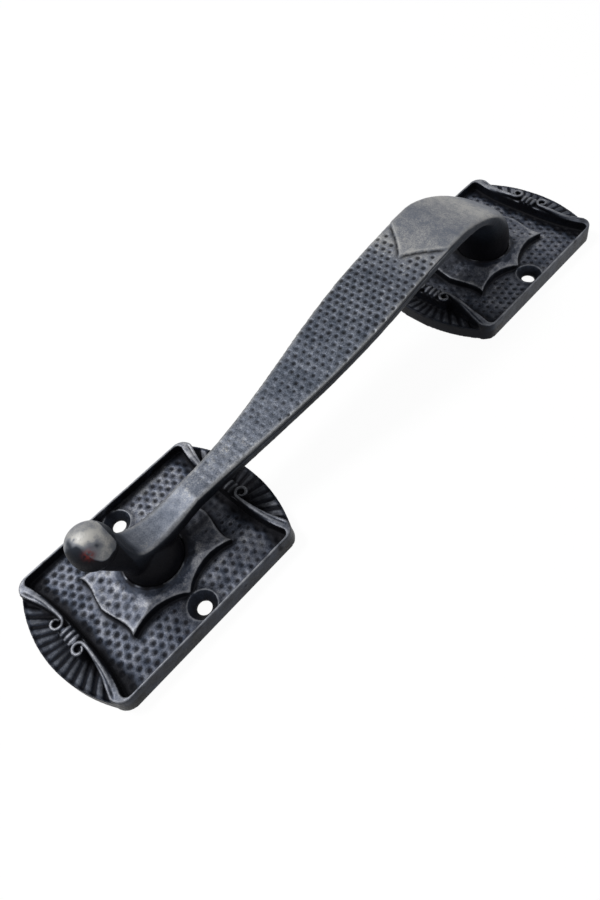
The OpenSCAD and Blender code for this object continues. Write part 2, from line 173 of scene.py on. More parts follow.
# Factors that mix a noise cell's place and seed, and the number of values that come out
CELL_FACTORS = (73856093, 19349663, 83492791)
SEED_FACTOR = 2654435761
MIX_FACTOR = 1274126177
MIX_LIMIT = 0x7FFFFFFF
NOISE_VALUES = 65521
SEED_SHIFT = 17.3

# A dimple: shares of its radius between which its wall rises and within which points are moved,
# and how far up a surface has to face
DIMPLE_WALL = (0.1, 1.15)
DIMPLE_BOUND = 1.3
DIMPLE_FACING = 0.6

# Reach of a plane that a dimple needs round it, and its slack
PLATE_EVEN = (1.25 * MM, 0.12 * MM)
STRAP_EVEN = (0.75 * MM, 0.1 * MM)

# Dimples of the plates: rows along X on the panel and on the plaque, how many of each lie on both
# sides of the middle, and how many pitches the pattern lies off it
PANEL_H = 3.2 * MM
PLATE_ROW = 2.68 * MM
PLATE_PITCH = 3.03 * MM
PLATE_ROWS = 10
PLATE_COLUMNS = 11
PLATE_ROW_LAG = 0.15
PLATE_COLUMN_LAG = 0.35
PANEL_DIMPLE_R = 1.16 * MM
PANEL_DIMPLE_T = 0.45 * MM

# Where a plate's dimples can lie: slack of the panel's height, least height of the plaque over it,
# half the plaque's length and width, and the radius that the seat keeps clear
PANEL_SLACK = 0.1 * MM
PLAQUE_UP = 1.5 * MM
PLAQUE_HALF_L = 21 * MM
PLAQUE_HALF_W = 14 * MM
SEAT_CLEAR_R = 12.6 * MM

# Dimples of the strap: their seed, the columns that they stand in across it, and how many of a
# column lie on both sides of its middle
STRAP_SEED = 5
STRAP_COLUMN = 2.52 * MM
STRAP_PITCH = 2.83 * MM
STRAP_COLUMNS = range(-35, 10)
STRAP_ROWS = 5
STRAP_COLUMN_X = LOWER_X + 111.6 * MM
STRAP_DIMPLE_R = 1.12 * MM
STRAP_DIMPLE_T = 0.5 * MM

# Millimetres from the low post's axis to where they start and to where they stop being faint, and
# the band in which worn ones give way to fresh ones
STRAP_FIELD_X = 24
STRAP_FAINT_X = 50
STRAP_FRESH_X = (60, 108)

# Point of the brace that bounds them, how far it runs on for each millimetre across, and how far
# the dimples stay away from it
BRACE_TIP = 123.8
BRACE_LEAN = 0.75
BRACE_GAP = 1.2

# How far below the surface a dimple still finds points, on a plate and on the strap
PLATE_DIMPLE_FLOOR = 0.6 * MM
STRAP_DIMPLE_FLOOR = 0.9 * MM

# Bands in which a plate's wear and its painted shade change, each from one length in millimetres to
# the next: heights over the ground,
RAISED_H = (3.6, 6.6)
PANEL_TOP_H = (3.6, 4.2)
SHELL_TOP_H = (5.5, 7)
MOULDING_H = (4.5, 6)
FLECKED_H = (4, 6)
# lengths along the pull and across it, from the plate's centre,
SHELL_X = (34, 37)
MOULDING_X = (27, 29)
SCROLL_SIDE_X = (26.5, 29.5)
PALE_X = (-14, 2)
PALE_Y = (3, 12)
# (across: the mouldings' -Y side, away from the lamp, turns darker with painted shade in this band)
NEAR_Y = (-24, -8)
FLANK_Y = (25, 27)
KNOT_Y = (3.2, 3.8)
# and distances from the middle of a screw hole and of the seat
DISH_R = (4.5, 5.1)
# (the ring between these two radii is darkened with painted shade round the post's foot)
SEAT_INNER_R = (10.3, 10.9)
SEAT_OUTER_R = (12.6, 13.4)

# Radius of the seat's crest, and distances from a shell's edge between which its lip turns dark
CREST_R = 11.2 * MM
DARK_LIP_START = 1.6 * MM
DARK_LIP_FULL = 0.8 * MM

# Patches of a plate's wear: width in millimetres and share
PLATE_PATCHES = ((9, 0.1), (2.5, 0.1))

# Along the handle, from the low post's axis: how worn it is, with a painted highlight over the cap,
# how many pale flecks it has and how uneven its finish is
WEAR_AND_SHEEN_ALONG = ((-8, 0.56), (0, 0.72), (20, 0.68), (45, 0.51), (70, 0.38), (100, 0.43), (118, 0.48),
              (128, 0.74), (145, 0.66), (160, 0.85), (180, 0.25))
FLECKS_ALONG = ((-4, 0.1), (12, 0.3), (25, 1), (110, 1), (122, 0.5), (130, 0.25))
UNEVEN_ALONG = ((-4, 0.35), (4, 0.7), (20, 1), (116, 1), (126, 0.45))

# Bands in which hands reach its sides too, short of which these are darker with painted shade, and in
# which they reach it at all, below which it is black with patina and painted shade; and the end of
# the knob's own wear and of its neck, which is darkened with painted shade
BLUNT_X = (18, 40)
LIT_AND_TOUCHED_H = (14, 24)
NECK_X = -6

# Seeds of the pieces' noise and samples
LOWER_SEED = 11
UPPER_SEED = 23
HANDLE_SEED = 7

# Thumb knob: middle, radius, and share of the radius within which points belong to it
KNOB_AT = (LOWER_X - 11.8 * MM, 0, 34.7 * MM)
KNOB_R = 7.15 * MM
KNOB_BOUND = 1.08

# Way to its flatter side, how far that reaches and how deep it is flattened
KNOB_FLAT = (-0.94, 0.27, -0.22)
KNOB_FLAT_REACH = 0.6
KNOB_FLAT_T = 0.9 * MM

# Waves of the bare top's border, as width in millimetres and share, their seed, and how worn the
# bare metal is
KNOB_BORDER = ((3.2, 0.16), (1.2, 0.06))
KNOB_SEED = 31
KNOB_BARE = 0.76

# Caps that make up its bare top: way from the knob's centre and the cosine of its reach
KNOB_CAPS = (((0.43, -0.5, 0.75), 0.6), ((-0.3, 0.4, 0.85), 0.42))

# The side of it that stays dark, black with patina and painted shade, given the same way
KNOB_PATINA_AND_SHADE = ((-0.83, -0.43, 0.34), 0.72)

# Marks on that top, painted highlights and painted shade along with its wear: way from the knob's
# centre, reach, and how much paler or darker
KNOB_WEAR_AND_LIGHT = (((0.07, -0.27, 0.96), 0.4, 0.35), ((0.5, -0.72, 0.48), 0.3, 0.2),
              ((-0.35, 0.11, 0.93), 0.12, 0.3), ((-0.27, 0.05, 0.96), 0.05, -0.5),
              ((-0.02, -0.57, 0.82), 0.14, -0.3), ((0.19, -0.68, 0.7), 0.15, -0.5),
              ((0.36, -0.74, 0.57), 0.12, -0.2), ((0.8, -0.3, 0.5), 0.2, -0.3))
RED_MARK = (-0.26, -0.71, 0.65)
RED_REACH = 0.19

# Colours, and how the cast metal and the screws' steel shine and stand in relief
# The first colour is the patina's black, which also paints the shade where the pull's parts hide the sky
SOOT_AND_SHADE = (0.0015, 0.0015, 0.003)
RED = (0.16, 0.025, 0.022)
WHITE = (1, 1, 1)
STEEL_DARK = (0.23, 0.23, 0.24)
STEEL_PALE = (0.36, 0.36, 0.37)
STEEL_STAIN = (0.08, 0.075, 0.07)
CAST_METALLIC = 0.5
CAST_SPECULAR = 0.2
CAST_BUMP = 0.8
CAST_BUMP_T = 0.12 * MM
STEEL_BUMP = 0.3
STEEL_BUMP_T = 0.05 * MM

# The floor: half its width in metres, how far it lies below the pull, its colour and roughness,
# and the glow that makes it white to the camera, by its strength and its share
FLOOR_HALF = 3.0
FLOOR_DOWN = 0.2 * MM
FLOOR_GREY = (0.8, 0.8, 0.8)
FLOOR_ROUGHNESS = 0.9
FLOOR_GLOW = 1.03
FLOOR_GLOW_SHARE = 0.93

# Strength of the world's light on the pull
SOFT_LIGHT = 0.3


# Meshes as arrays

def read_points(mesh):
    points = np.zeros(len(mesh.vertices) * 3)
    mesh.vertices.foreach_get("co", points)
    return points.reshape(-1, 3)


def read_normals(mesh):
    normals = np.zeros(len(mesh.vertices) * 3)
    mesh.vertex_normals.foreach_get("vector", normals)
    return normals.reshape(-1, 3)


def write_points(mesh, points):
    mesh.vertices.foreach_set("co", points.ravel())
    mesh.update()


def read_edges(mesh):
    edges = np.zeros(len(mesh.edges) * 2, dtype=np.int64)
    mesh.edges.foreach_get("vertices", edges)
    return edges.reshape(-1, 2)


def smoothed(values, edges, rounds, share=0.5):
    """Moves each vertex's values towards the mean of its neighbours."""
    count = len(values)
    ends = np.concatenate([edges[:, 0], edges[:, 1]])
    others = np.concatenate([edges[:, 1], edges[:, 0]])
    degree = np.maximum(np.bincount(ends, minlength=count), 1)[:, None]
    values = values.reshape(count, -1).copy()
    for _ in range(rounds):
        sums = [np.bincount(ends, values[others, k], count) for k in range(values.shape[1])]
        mean = np.stack(sums, 1) / degree
        values += share * (mean - values)
    return values


def softened(points, edges, rounds, keep):
    """Evens out broad facets without shrinking the form; keep is 1 where a point stays."""
    free = (1 - keep)[:, None]
    for _ in range(rounds):
        for share in SOFTEN_STEPS:
            points = points + free * (smoothed(points, edges, 1, share) - points)
    return points


def ease(low, high, values):
    """0 below low, 1 above high and smooth between them."""
    t = np.clip((values - low) / (high - low), 0, 1)
    return t * t * (3 - 2 * t)


def beyond(values, band):
    """0 below a band that is given in millimetres, 1 above it and smooth between."""
    low, high = band
    return ease(low * MM, high * MM, values)


def store(mesh, name, values):
    layer = mesh.attributes.new(name, "FLOAT", "POINT")
    layer.data.foreach_set("value", np.ascontiguousarray(values, dtype=np.float32))


def apply_modifiers(piece):
    graph = bpy.context.evaluated_depsgraph_get()
    made = bpy.data.meshes.new_from_object(piece.evaluated_get(graph))
    piece.modifiers.clear()
    piece.data = made


# Castings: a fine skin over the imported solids

def cast_skin(node, name, even_rounds):
    """A voxel skin over a node's solid, with its edges softened as a casting's are."""
    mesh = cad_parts[node].data.copy()
    mesh.materials.clear()
    piece = bpy.data.objects.new(name, mesh)
    bpy.context.scene.collection.objects.link(piece)
    weld = piece.modifiers.new("weld", "WELD")
    weld.merge_threshold = WELD_GAP
    skin = piece.modifiers.new("skin", "REMESH")
    skin.mode = "VOXEL"
    skin.voxel_size = VOXEL
    apply_modifiers(piece)
    mesh = piece.data
    edges = read_edges(mesh)
    points = smoothed(read_points(mesh), edges, STAIR_ROUNDS)
    sharp = np.linalg.norm(smoothed(points, edges, SHARP_ROUNDS) - points, axis=1)
    keep = smoothed(ease(ROUND_MOVE, SHARP_MOVE, sharp), edges, KEEP_ROUNDS)[:, 0]
    write_points(mesh, softened(points, edges, even_rounds, ease(0.1, 0.5, keep)))
    return piece


def tree_of(nodes):
    points, faces = [], []
    for node in nodes:
        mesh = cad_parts[node].data
        base = len(points)
        points += [v.co.copy() for v in mesh.vertices]
        faces += [[base + i for i in p.vertices] for p in mesh.polygons]
    return BVHTree.FromPolygons(points, faces)


def height_over(tree, x, y):
    hit = tree.ray_cast(Vector((x, y, 100 * MM)), Vector((0, 0, -1)))
    return hit[0].z if hit[0] else None


def is_even(tree, x, y, reach, slack):
    """True if the surface round (x, y) is one plane over the reach, within the slack."""
    middle = height_over(tree, x, y)
    if middle is None:
        return False
    for k in range(6):
        turn = k * math.pi / 3
        step = Vector((math.cos(turn), math.sin(turn))) * reach
        near = height_over(tree, x + step.x, y + step.y)
        far = height_over(tree, x - step.x, y - step.y)
        if near is None or far is None or abs(near + far - 2 * middle) > slack:
            return False
    return True


def press_dimples(points, normals, spots):
    """Sinks round dimples into the points. Each spot is (x, y, radius, depth, lowest z)."""
    depth = np.zeros(len(points))
    share = np.zeros(len(points))
    for x, y, radius, t, floor in spots:
        bound = radius * DIMPLE_BOUND
        near = (abs(points[:, 0] - x) < bound) & (abs(points[:, 1] - y) < bound)
        near &= (points[:, 2] > floor) & (normals[:, 2] > DIMPLE_FACING)
        index = np.nonzero(near)[0]
        r = np.hypot(points[index, 0] - x, points[index, 1] - y) / radius
        bowl = 1 - ease(*DIMPLE_WALL, r)
        depth[index] = np.maximum(depth[index], bowl * t)
        share[index] = np.maximum(share[index], bowl * min(1, t / PANEL_DIMPLE_T))
    return points - normals * depth[:, None], share


def plate_spots(tree, centre_x, seed):
    """Where the dimples lie on a plate's panel and plaque."""
    pick = np.random.default_rng(seed)
    spots = []
    for row in range(-PLATE_ROWS, PLATE_ROWS + 1):
        y = (row - PLATE_ROW_LAG) * PLATE_ROW
        out_of_step = (row + (row > 0)) % 2
        for k in range(-PLATE_COLUMNS, PLATE_COLUMNS + 1):
            x = (k - PLATE_COLUMN_LAG + 0.5 * out_of_step) * PLATE_PITCH
            if not is_even(tree, centre_x + x, y, *PLATE_EVEN):
                continue
            z = height_over(tree, centre_x + x, y)
            on_panel = abs(z - PANEL_H) < PANEL_SLACK
            on_plaque = z > PANEL_H + PLAQUE_UP and abs(x) < PLAQUE_HALF_L and abs(y) < PLAQUE_HALF_W
            if on_plaque and math.hypot(x, y) < SEAT_CLEAR_R:
                continue
            if not on_panel and not on_plaque:
                continue
            size = pick.uniform(0.92, 1.06)
            shift = pick.uniform(-0.07, 0.07, 2) * MM
            t = PANEL_DIMPLE_T * pick.uniform(0.75, 1.1) * (1 if on_panel else pick.uniform(0.5, 0.9))
            spots.append((centre_x + x + shift[0], y + shift[1], PANEL_DIMPLE_R * size, t,
                          z - PLATE_DIMPLE_FLOOR))
    return spots


def strap_spots(tree):
    """Where the dimples lie on the strap: deep near the cap, worn at the low end."""
    pick = np.random.default_rng(STRAP_SEED)
    spots = []
    for column in STRAP_COLUMNS:
        x = STRAP_COLUMN_X + column * STRAP_COLUMN
        along = (x - LOWER_X) / MM
        fresh = float(ease(*STRAP_FRESH_X, along))
        for k in range(-STRAP_ROWS, STRAP_ROWS + 1):
            y = (k + 0.5 * (column % 2)) * STRAP_PITCH
            if along < STRAP_FIELD_X or along > BRACE_TIP + abs(y) / MM * BRACE_LEAN - BRACE_GAP:
                continue
            if not is_even(tree, x, y, *STRAP_EVEN):
                continue
            z = height_over(tree, x, y)
            size = pick.uniform(0.62, 0.9) + 0.2 * fresh
            t = STRAP_DIMPLE_T * (pick.uniform(0.25, 0.8) * (1 - fresh) + fresh * pick.uniform(0.8, 1.1))
            if along < STRAP_FAINT_X:
                t *= 0.5
            shift = pick.uniform(-0.16, 0.16, 2) * MM
            spots.append((x + shift[0], y + shift[1], STRAP_DIMPLE_R * size, t, z - STRAP_DIMPLE_FLOOR))
    return spots


def value_noise(points, scale, seed):
    """Smooth noise from -1 to 1 over the points, with features about scale wide."""
    cells = points / scale + seed * SEED_SHIFT
    base = np.floor(cells).astype(np.int64)
    part = cells - base
    part = part * part * (3 - 2 * part)
    total = np.zeros(len(points))
    for corner in range(8):
        offset = np.array([(corner >> k) & 1 for k in range(3)])
        mixed = np.bitwise_xor.reduce((base + offset) * CELL_FACTORS, axis=1)
        mixed = (mixed ^ (seed * SEED_FACTOR) ^ (mixed >> 13)) * MIX_FACTOR & MIX_LIMIT
        value = (mixed % NOISE_VALUES) / NOISE_VALUES * 2 - 1
        weight = np.prod(np.where(offset, part, 1 - part), axis=1)
        total += weight * value
    return total


def layered_noise(points, layers, seed):
    """Sum of noises, each layer with the width of its features in millimetres and its share."""
    return sum(share * value_noise(points, width * MM, seed + k)
               for k, (width, share) in enumerate(layers))


def openness(points, normals, tree, seed):
    """Share of the sky over each point that no part of the pull hides."""
    pick = np.random.default_rng(seed)
    samples = pick.choice(len(points), size=min(SKY_SAMPLES, len(points)), replace=False)
    ways = pick.normal(size=(SKY_RAYS, 3))
    ways /= np.linalg.norm(ways, axis=1)[:, None]
    finder = kdtree.KDTree(len(samples))
    seen = np.zeros(len(samples))
    for i, index in enumerate(samples):
        point, normal = Vector(points[index]), Vector(normals[index])
        start = point + normal * SKY_START
        clear = 0
        for way in ways:
            ray = (normal * SKY_LEAN + Vector(way)).normalized()
            if tree.ray_cast(start, ray, SKY_REACH)[0] is None:
                clear += 1
        seen[i] = clear / SKY_RAYS
        finder.insert(point, i)
    finder.balance()
    result = np.zeros(len(points))
    for i, point in enumerate(points):
        near = finder.find_n(point, SKY_NEAREST)
        weights = [1 / (distance + SKY_BLUR) for _, _, distance in near]
        result[i] = sum(w * seen[n[1]] for w, n in zip(weights, near)) / sum(weights)
    return result


def moved_out(points, normals, edges, rounds):
    """How far the rounds of smoothing move each point out of the surface."""
    return np.einsum("ij,ij->i", smoothed(points, edges, rounds) - points, normals)


def finish_casting(piece, tree, seed, spots, marks):
    """Presses the dimples in, stores what the metal's wear and its painted shade follow and thins the
    mesh.
    """
    mesh = piece.data
    edges, points, normals = read_edges(mesh), read_points(mesh), read_normals(mesh)
    fine = moved_out(points, normals, edges, FINE_ROUNDS)
    broad = moved_out(points, normals, edges, BROAD_ROUNDS)
    # How open each point's sky is, which the colour darkens as painted shade
    opened = smoothed(openness(points, normals, tree, seed), edges, SKY_ROUNDS)[:, 0]
    marks = {"edge": np.clip(-fine / FINE_MOVE, 0, 1), "hollow": np.clip(broad / BROAD_MOVE, 0, 1),
             "ridge": np.clip(-broad / BROAD_MOVE, 0, 1), "open": opened, **marks}
    points, marks["pit"] = press_dimples(points, normals, spots)
    for name, values in marks.items():
        store(mesh, name, values)
    rough = layered_noise(points, SKIN_WAVES, seed) * beyond(points[:, 2], SKIN_WAVES_H)
    write_points(mesh, points + normals * (rough * MM)[:, None])
    triangles = sum(len(p.vertices) - 2 for p in mesh.polygons)
    if triangles > MOST_TRIANGLES:
        lean = piece.modifiers.new("lean", "DECIMATE")
        lean.ratio = MOST_TRIANGLES / triangles
        apply_modifiers(piece)
    piece.data.shade_smooth()


def quarter_plan(points, centre_x):
    """Distance of each point from a plate's centre, along the pull and across it."""
    return np.stack([abs(points[:, 0] - centre_x), abs(points[:, 1])], 1)


def from_shell_centre(along, across):
    """Distance in plan from the middle of the arc that bounds a shell."""
    return np.hypot(along + SHELL_R - SHELL_END, across)


def plate_wear_and_shade(points, normals, centre_x, seed):
    """Where a plate is rubbed grey: its raised parts most, its walls, dishes and corners least; with
    painted shade on the mouldings' -Y side and round the post's foot.
    """
    along, across = quarter_plan(points, centre_x).T
    height, up = points[:, 2], normals[:, 2]
    paler = 0.22 * beyond(points[:, 1], PALE_Y) * beyond(points[:, 0] - centre_x, PALE_X)
    wear_and_light = 0.44 + 0.1 * beyond(height, RAISED_H) + paler + layered_noise(points, PLATE_PATCHES, seed)
    wear_and_light = wear_and_light * (0.3 + 0.7 * ease(0.0, 0.9, up))
    dish = 1 - beyond(np.hypot(along, across - BOLT_Y), DISH_R)
    shell = beyond(along, SHELL_X) * (1 - beyond(height, SHELL_TOP_H))
    from_shell = from_shell_centre(along, across)
    lip = shell * ease(SHELL_R - DARK_LIP_START, SHELL_R - DARK_LIP_FULL, from_shell)
    ragged_along = along + 1.2 * MM * value_noise(points, 2 * MM, seed + 3)
    low = 1 - beyond(height, PANEL_TOP_H)
    beside_scroll = beyond(ragged_along, SCROLL_SIDE_X) * low * (1 - shell)
    moulding = beyond(along, MOULDING_X) * beyond(height, MOULDING_H)
    flank = moulding * (1 - beyond(across, FLANK_Y)) * (1 - ease(0.7, 0.98, up))
    knot = moulding * (1 - beyond(across, KNOT_Y))
    # Painted shade on the mouldings' -Y side, away from the lamp
    near_side_shade = moulding * (1 - beyond(points[:, 1], NEAR_Y))
    reach = np.hypot(along, across)
    ragged_reach = reach + 1.1 * MM * value_noise(points, 2.2 * MM, seed + 4)
    # Painted shade in a ragged ring round the post's foot
    seat_ring_shade = beyond(reach, SEAT_INNER_R) * (1 - beyond(ragged_reach, SEAT_OUTER_R))
    crest = (reach < CREST_R) * ease(-0.35, 0.25, value_noise(points, 3 * MM, seed + 5))
    darker = ((0.6, dish), (0.42, shell), (0.6, lip), (0.85, beside_scroll), (0.6, flank), (0.3, knot),
              (0.35, near_side_shade), (0.6, seat_ring_shade), (0.7, crest))
    for share, place in darker:
        wear_and_light = wear_and_light * (1 - share * place)
    return wear_and_light


def gaps_to(line, plan):
    """Distance in plan of each point from each point of the line."""
    return np.linalg.norm(plan[:, None] - line[None], axis=2)


def trough(distance, depth, half_width):
    """Depth of a groove at a distance from its middle line."""
    return depth * np.exp(-(distance / half_width) ** 2)


def on_curve(ends, shares):
    """Points at the shares of a cubic curve, whose four control points are the ends."""
    rest = 1 - shares
    weights = (rest ** 3, 3 * shares * rest ** 2, 3 * shares ** 2 * rest, shares ** 3)
    return sum(weight[:, None] * np.array(end) for weight, end in zip(weights, ends))


def close_flutes(points, normals, centre_x):
    """Fills the ends of the flutes up to the thin lip along a shell's edge."""
    along, across = quarter_plan(points, centre_x).T
    share = ease(SHELL_R - LIP_START, SHELL_R - LIP_FULL, from_shell_centre(along, across))
    share = share * ease(0.1, 0.4, normals[:, 2]) * (along > SHELL_END - LIP_BACK)
    missing = np.maximum(SHELL_LIP_H - points[:, 2], 0) * (points[:, 2] > LIP_FLOOR_H)
    lifted = points.copy()
    lifted[:, 2] += share * missing
    return lifted


def close_volutes(points, centre_x):
    """Carries each volute's end round to its start, so that it closes round a small eye."""
    plan = quarter_plan(points, centre_x) / MM
    (start, start_r), (end, end_r) = VOLUTE_ARC
    angles = np.radians(np.linspace(start, end, VOLUTE_STEPS))
    radii = np.linspace(start_r, end_r, VOLUTE_STEPS)
    arc = np.stack([np.cos(angles) * radii, np.sin(angles) * radii], 1) + VOLUTE_AT
    near = np.linalg.norm(plan - VOLUTE_AT, axis=1) < VOLUTE_REACH
    near = np.nonzero(near & (points[:, 2] > VOLUTE_FOOT_H))[0]
    share = 1 - ease(*VOLUTE_RIDGE, gaps_to(arc, plan[near]).min(1))
    lifted = points.copy()
    lifted[near, 2] += share * np.maximum(VOLUTE_H * MM - points[near, 2], 0)
    return lifted


def cut_scrolls(points, normals, centre_x):
    """Fine groove along each scroll moulding's root, and the gaps between the knot's beads."""
    plan = quarter_plan(points, centre_x) / MM
    shares = np.linspace(0, SCROLL_GROOVE_RUN, SCROLL_GROOVE_STEPS)
    line = on_curve(SCROLL_RUN, shares) + [SCROLL_GROOVE_ASIDE, 0]
    raised = points[:, 2] > SCROLL_FOOT_H
    near = np.nonzero(raised & (plan[:, 0] > SCROLL_LEAST_X) & (plan[:, 1] > SCROLL_LEAST_Y))[0]
    gaps = gaps_to(line, plan[near])
    share = shares[gaps.argmin(1)]
    depth = np.zeros(len(points))
    depth[near] = trough(gaps.min(1), *SCROLL_GROOVE)
    depth[near] *= ease(*SCROLL_GROOVE_DEEPENS, share) * (1 - ease(*SCROLL_GROOVE_FADES, share))
    on_knot = raised & (plan[:, 0] > BEAD_ENDS[0]) & (plan[:, 0] < BEAD_ENDS[1])
    depth += on_knot * trough(plan[:, 1] - BEAD_GAP_Y, *BEAD_GROOVE)
    return points - normals * (depth * MM)[:, None]


def make_plate(node, name, centre_x, seed):
    piece = cast_skin(node, name, PLATE_EVEN_ROUNDS)
    mesh = piece.data
    write_points(mesh, close_flutes(read_points(mesh), read_normals(mesh), centre_x))
    write_points(mesh, close_volutes(read_points(mesh), centre_x))
    points = cut_scrolls(read_points(mesh), read_normals(mesh), centre_x)
    write_points(mesh, points)
    # The stored wear carries painted shade too
    marks = {"wear_and_light": plate_wear_and_shade(read_points(mesh), read_normals(mesh), centre_x, seed + 2),
             "flecks": 0.6 * beyond(points[:, 2], FLECKED_H) + 0.2,
             "uneven": np.ones(len(points))}
    spots = plate_spots(tree_of([node]), centre_x, seed)
    finish_casting(piece, tree_of([node, "handle"]), seed, spots, marks)
    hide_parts(node)
    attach(piece, "root")
    return piece


def along_pull(points):
    """Distance of each point from the low post's axis along the pull, in millimetres."""
    return (points[:, 0] - LOWER_X) / MM


def cut_groove(points, normals, tree):
    """Fine groove along both side faces of the strap, below its upper edge."""
    along = along_pull(points)
    stations = np.arange(*STRAP_GROOVE_RUN, 1.0)
    tops = [height_over(tree, LOWER_X + s * MM, 0) / MM for s in stations]
    below = np.interp(along, stations, tops) - points[:, 2] / MM
    share = ease(0.7, 0.9, abs(normals[:, 1]))
    share = share * ease(*STRAP_GROOVE_DEEPENS, along) * (1 - ease(*STRAP_GROOVE_FADES, along))
    depth = trough(below - STRAP_GROOVE_DOWN, *STRAP_GROOVE) * share
    return points - normals * (depth * MM)[:, None]


def even_curl(points, edges):
    """Evens out the curl's lower part, down to the post, where no sharp edge is left."""
    share = ease(*CURL_X, along_pull(points)) * (1 - beyond(points[:, 2], CURL_TOP_H))
    return points + share[:, None] * (smoothed(points, edges, CURL_ROUNDS) - points)


def nearness(ways, mark, reach):
    """1 where a way from the knob's centre is the mark's, falling off over the reach."""
    mark = np.array(mark) / np.linalg.norm(mark)
    return np.exp(-((1 - ways @ mark) * 2) / (reach * reach))


def from_knob(points):
    """Way to each point from the knob's centre, and whether it lies on the knob."""
    step = points - np.array(KNOB_AT)
    distance = np.linalg.norm(step, axis=1)
    return step / np.maximum(distance, 1e-9)[:, None], distance < KNOB_R * KNOB_BOUND


def flatten_knob(points):
    ways, on_knob = from_knob(points)
    depth = nearness(ways, KNOB_FLAT, KNOB_FLAT_REACH) * on_knob * KNOB_FLAT_T
    return points - ways * depth[:, None]


def knob_wear_and_light(points, ways):
    """The knob's pale bare top with its ragged border, its dark side of patina and painted shade, and
    its marks of wear, painted highlight and painted shade.
    """
    ragged = layered_noise(points, KNOB_BORDER, KNOB_SEED)
    bare = np.zeros(len(points))
    for way, reach in KNOB_CAPS:
        bare = np.maximum(bare, ease(-0.05, 0.05, ways @ np.array(way) - reach + ragged * 0.6))
    # Its dark side: black patina and painted shade
    way, reach = KNOB_PATINA_AND_SHADE
    bare *= 1 - 0.9 * ease(-0.2, 0.06, ways @ np.array(way) - reach + ragged * 0.9)
    change = value_noise(points, 1.9 * MM, KNOB_SEED + 2) * 0.16
    uneven = 1 + 0.5 * value_noise(points, 0.9 * MM, KNOB_SEED + 4)
    # Paler and darker marks: painted highlights and painted shade, with wear
    for mark, reach, step in KNOB_WEAR_AND_LIGHT:
        change += step * nearness(ways, mark, reach) * uneven
    return bare * (KNOB_BARE + change)


def handle_marks(points, normals):
    """Where hands have rubbed the handle pale, with painted shade on its sides, neck and low parts and
    painted highlights on its cap and knob; how unevenly, its flecks and the knob's red mark.
    """
    along = along_pull(points)
    wear_and_light, flecks, uneven = (np.interp(along, *zip(*table))
                            for table in (WEAR_AND_SHEEN_ALONG, FLECKS_ALONG, UNEVEN_ALONG))
    blunt = ease(*BLUNT_X, along)
    # Side faces darker than the top: wear, and painted shade most of all near the low post
    up = ease(0.45, 0.97, normals[:, 2]) * (1 - blunt) + ease(-0.1, 0.7, normals[:, 2]) * blunt
    # Parts low down by the posts turn black: painted shade, with the patina that hands leave there
    wear_and_light = wear_and_light * (0.25 + 0.75 * up) * (0.1 + 0.9 * beyond(points[:, 2], LIT_AND_TOUCHED_H))
    ways, on_knob = from_knob(points)
    # The neck beside the knob is darkened with painted shade
    on_neck = np.maximum(wear_and_light * 0.3, knob_wear_and_light(points, ways) * on_knob)
    wear_and_light = np.where(along < NECK_X, on_neck, wear_and_light)
    scratchy = ease(-0.6, 0.3, value_noise(points, 0.5 * MM, KNOB_SEED + 3))
    red = nearness(ways, RED_MARK, RED_REACH) * scratchy * on_knob
    return {"wear_and_light": wear_and_light, "red": red, "flecks": flecks, "uneven": uneven}


def make_handle():
    piece = cast_skin("handle", "pull_handle", HANDLE_EVEN_ROUNDS)
    own = tree_of(["handle"])
    mesh = piece.data
    points = flatten_knob(even_curl(read_points(mesh), read_edges(mesh)))
    write_points(mesh, points)
    write_points(mesh, cut_groove(points, read_normals(mesh), own))
    marks = handle_marks(read_points(mesh), read_normals(mesh))
    around = tree_of(["handle", "lower_plate", "upper_plate"])
    finish_casting(piece, around, HANDLE_SEED, strap_spots(own), marks)
    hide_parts("handle")
    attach(piece, "root")
    return piece


# Materials

